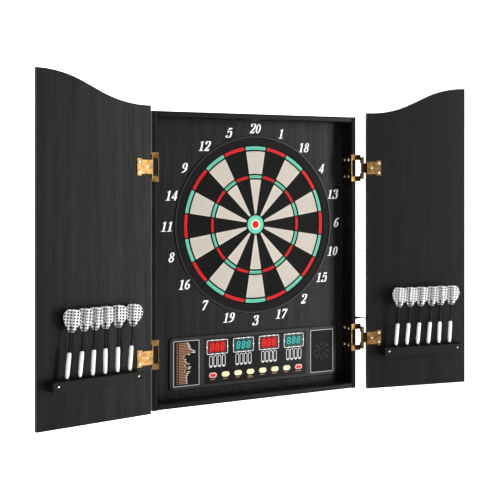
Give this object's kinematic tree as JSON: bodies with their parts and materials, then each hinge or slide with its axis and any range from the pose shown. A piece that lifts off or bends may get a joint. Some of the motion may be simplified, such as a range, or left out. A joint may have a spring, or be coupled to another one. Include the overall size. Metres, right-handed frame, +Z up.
{
  "type": "electronic dartboard",
  "caption": "Electronic dartboard with a scoring panel in a wall cabinet whose two doors carry darts in holders.",
  "frame": {"origin": "centre of the cabinet's flat back face, which hangs on the wall", "axes": "+Z up, +Y into the wall, +X to the player's right; the target faces -Y"},
  "size_m": [1.014, 0.1689, 0.683],
  "materials": {
    "black_wood": "satin black stain over open grain",
    "back_board": "matt",
    "black_plastic": "moulded, fine texture",
    "cream_plastic": "moulded, perforated",
    "key_black": "moulded, perforated",
    "red_plastic": "moulded, perforated",
    "green_plastic": "moulded, perforated",
    "grey_rubber": "matt",
    "switch_film": "printed polyester film",
    "gloss_black": "gloss",
    "display_glass": "gloss",
    "circuit_green": "solder mask",
    "speaker_metal": "satin",
    "brass": "polished plating",
    "steel": "bright zinc plating",
    "cream_key": "gloss",
    "red_key": "gloss",
    "dart_parts": "painted barrel, nylon tip and shaft, film flight",
    "cord_black": "satin",
    "cord_grey": "satin"
  },
  "bodies": {
    "cabinet": {"back_panel": "back_board", "bottom_panel": "black_wood", "cabinet_hinge_leaves": "brass", "cabinet_screws": "steel", "catch_ring": "black_plastic", "circuit_board": "circuit_green", "control_bezel": "black_plastic", "cord_coil": "cord_grey", "cord_lead": "cord_grey", "cord_plug": "cord_black", "dc_jack": "black_plastic", "display_lens": "gloss_black", "fascia_board": "black_wood", "hinge_pins": "brass", "keypad_mat": "grey_rubber", "left_side_panel": "black_wood", "membrane_switch": "switch_film", "power_adapter": "cord_black", "right_side_panel": "black_wood", "score_displays": "display_glass", "speaker": "speaker_metal", "speaker_grille": "black_plastic", "spider": "black_plastic", "switch_mat": "grey_rubber", "target_backplate": "black_plastic", "top_panel": "black_wood"},
    "left_door": {"left_door_panel": "black_wood", "left_door_hinge_leaves": "brass", "left_dart_holder": "black_plastic", "left_door_screws": "steel"},
    "right_door": {"right_door_panel": "black_wood", "right_door_hinge_leaves": "brass", "right_dart_holder": "black_plastic", "right_door_screws": "steel"},
    "cream_keys": {"cream_segments": "cream_plastic"},
    "black_keys": {"black_segments": "key_black"},
    "red_keys": {"red_segments": "red_plastic"},
    "green_keys": {"green_segments": "green_plastic"},
    "outer_bull": {"outer_bull": "green_plastic"},
    "inner_bull": {"inner_bull": "red_plastic"},
    "button_power": {"button_power": "red_key"},
    "button_game": {"button_game": "cream_key"},
    "button_option": {"button_option": "cream_key"},
    "button_player": {"button_player": "cream_key"},
    "button_double": {"button_double": "cream_key"},
    "button_bounce": {"button_bounce": "cream_key"},
    "button_sound": {"button_sound": "cream_key"},
    "button_start": {"button_start": "red_key"},
    "left_dart_1": {"left_dart_1": "dart_parts"},
    "left_dart_2": {"left_dart_2": "dart_parts"},
    "left_dart_3": {"left_dart_3": "dart_parts"},
    "left_dart_4": {"left_dart_4": "dart_parts"},
    "left_dart_5": {"left_dart_5": "dart_parts"},
    "left_dart_6": {"left_dart_6": "dart_parts"},
    "right_dart_1": {"right_dart_1": "dart_parts"},
    "right_dart_2": {"right_dart_2": "dart_parts"},
    "right_dart_3": {"right_dart_3": "dart_parts"},
    "right_dart_4": {"right_dart_4": "dart_parts"},
    "right_dart_5": {"right_dart_5": "dart_parts"},
    "right_dart_6": {"right_dart_6": "dart_parts"}
  },
  "joints": [
    {"name": "left_door_hinge", "type": "hinge", "parent": "cabinet", "child": "left_door", "pos_m": [-0.25545, -0.0899, 0], "axis": [0, 0, 1], "range_deg": [-9.1, 170.9]},
    {"name": "right_door_hinge", "type": "hinge", "parent": "cabinet", "child": "right_door", "pos_m": [0.25545, -0.0899, 0], "axis": [0, 0, -1], "range_deg": [-9.7, 170.3]},
    {"name": "cream_keys_press", "type": "slide", "parent": "cabinet", "child": "cream_keys", "axis": [0, 1, 0], "range_m": [0, 0.001], "stiffness_N_per_m": 3000},
    {"name": "black_keys_press", "type": "slide", "parent": "cabinet", "child": "black_keys", "axis": [0, 1, 0], "range_m": [0, 0.001], "stiffness_N_per_m": 3000},
    {"name": "red_keys_press", "type": "slide", "parent": "cabinet", "child": "red_keys", "axis": [0, 1, 0], "range_m": [0, 0.001], "stiffness_N_per_m": 3000},
    {"name": "green_keys_press", "type": "slide", "parent": "cabinet", "child": "green_keys", "axis": [0, 1, 0], "range_m": [0, 0.001], "stiffness_N_per_m": 3000},
    {"name": "outer_bull_press", "type": "slide", "parent": "cabinet", "child": "outer_bull", "axis": [0, 1, 0], "range_m": [0, 0.001], "stiffness_N_per_m": 1500},
    {"name": "inner_bull_press", "type": "slide", "parent": "cabinet", "child": "inner_bull", "axis": [0, 1, 0], "range_m": [0, 0.001], "stiffness_N_per_m": 1500},
    {"name": "button_power_press", "type": "slide", "parent": "cabinet", "child": "button_power", "axis": [0, 1, 0], "range_m": [0, 0.0015], "stiffness_N_per_m": 400},
    {"name": "button_game_press", "type": "slide", "parent": "cabinet", "child": "button_game", "axis": [0, 1, 0], "range_m": [0, 0.0015], "stiffness_N_per_m": 400},
    {"name": "button_option_press", "type": "slide", "parent": "cabinet", "child": "button_option", "axis": [0, 1, 0], "range_m": [0, 0.0015], "stiffness_N_per_m": 400},
    {"name": "button_player_press", "type": "slide", "parent": "cabinet", "child": "button_player", "axis": [0, 1, 0], "range_m": [0, 0.0015], "stiffness_N_per_m": 400},
    {"name": "button_double_press", "type": "slide", "parent": "cabinet", "child": "button_double", "axis": [0, 1, 0], "range_m": [0, 0.0015], "stiffness_N_per_m": 400},
    {"name": "button_bounce_press", "type": "slide", "parent": "cabinet", "child": "button_bounce", "axis": [0, 1, 0], "range_m": [0, 0.0015], "stiffness_N_per_m": 400},
    {"name": "button_sound_press", "type": "slide", "parent": "cabinet", "child": "button_sound", "axis": [0, 1, 0], "range_m": [0, 0.0015], "stiffness_N_per_m": 400},
    {"name": "button_start_press", "type": "slide", "parent": "cabinet", "child": "button_start", "axis": [0, 1, 0], "range_m": [0, 0.0015], "stiffness_N_per_m": 400},
    {"name": "left_dart_1_lift", "type": "slide", "parent": "left_door", "child": "left_dart_1", "axis": [0.0861, 0.0138, 0.9962], "range_m": [0, 0.03]},
    {"name": "left_dart_2_lift", "type": "slide", "parent": "left_door", "child": "left_dart_2", "axis": [0.0276, 0.0044, 0.9996], "range_m": [0, 0.03]},
    {"name": "left_dart_3_lift", "type": "slide", "parent": "left_door", "child": "left_dart_3", "axis": [0.019, 0.003, 0.9998], "range_m": [0, 0.03]},
    {"name": "left_dart_4_lift", "type": "slide", "parent": "left_door", "child": "left_dart_4", "axis": [0.062, 0.0099, 0.998], "range_m": [0, 0.03]},
    {"name": "left_dart_5_lift", "type": "slide", "parent": "left_door", "child": "left_dart_5", "axis": [0.0998, 0.016, 0.9949], "range_m": [0, 0.03]},
    {"name": "left_dart_6_lift", "type": "slide", "parent": "left_door", "child": "left_dart_6", "axis": [0.1066, 0.0171, 0.9942], "range_m": [0, 0.03]},
    {"name": "right_dart_1_lift", "type": "slide", "parent": "right_door", "child": "right_dart_1", "axis": [0.0928, -0.0159, 0.9956], "range_m": [0, 0.03]},
    {"name": "right_dart_2_lift", "type": "slide", "parent": "right_door", "child": "right_dart_2", "axis": [0.0962, -0.0164, 0.9952], "range_m": [0, 0.03]},
    {"name": "right_dart_3_lift", "type": "slide", "parent": "right_door", "child": "right_dart_3", "axis": [0.0928, -0.0159, 0.9956], "range_m": [0, 0.03]},
    {"name": "right_dart_4_lift", "type": "slide", "parent": "right_door", "child": "right_dart_4", "axis": [0.0962, -0.0164, 0.9952], "range_m": [0, 0.03]},
    {"name": "right_dart_5_lift", "type": "slide", "parent": "right_door", "child": "right_dart_5", "axis": [0.055, -0.0094, 0.9984], "range_m": [0, 0.03]},
    {"name": "right_dart_6_lift", "type": "slide", "parent": "right_door", "child": "right_dart_6", "axis": [0.0619, -0.0106, 0.998], "range_m": [0, 0.03]}
  ]
}
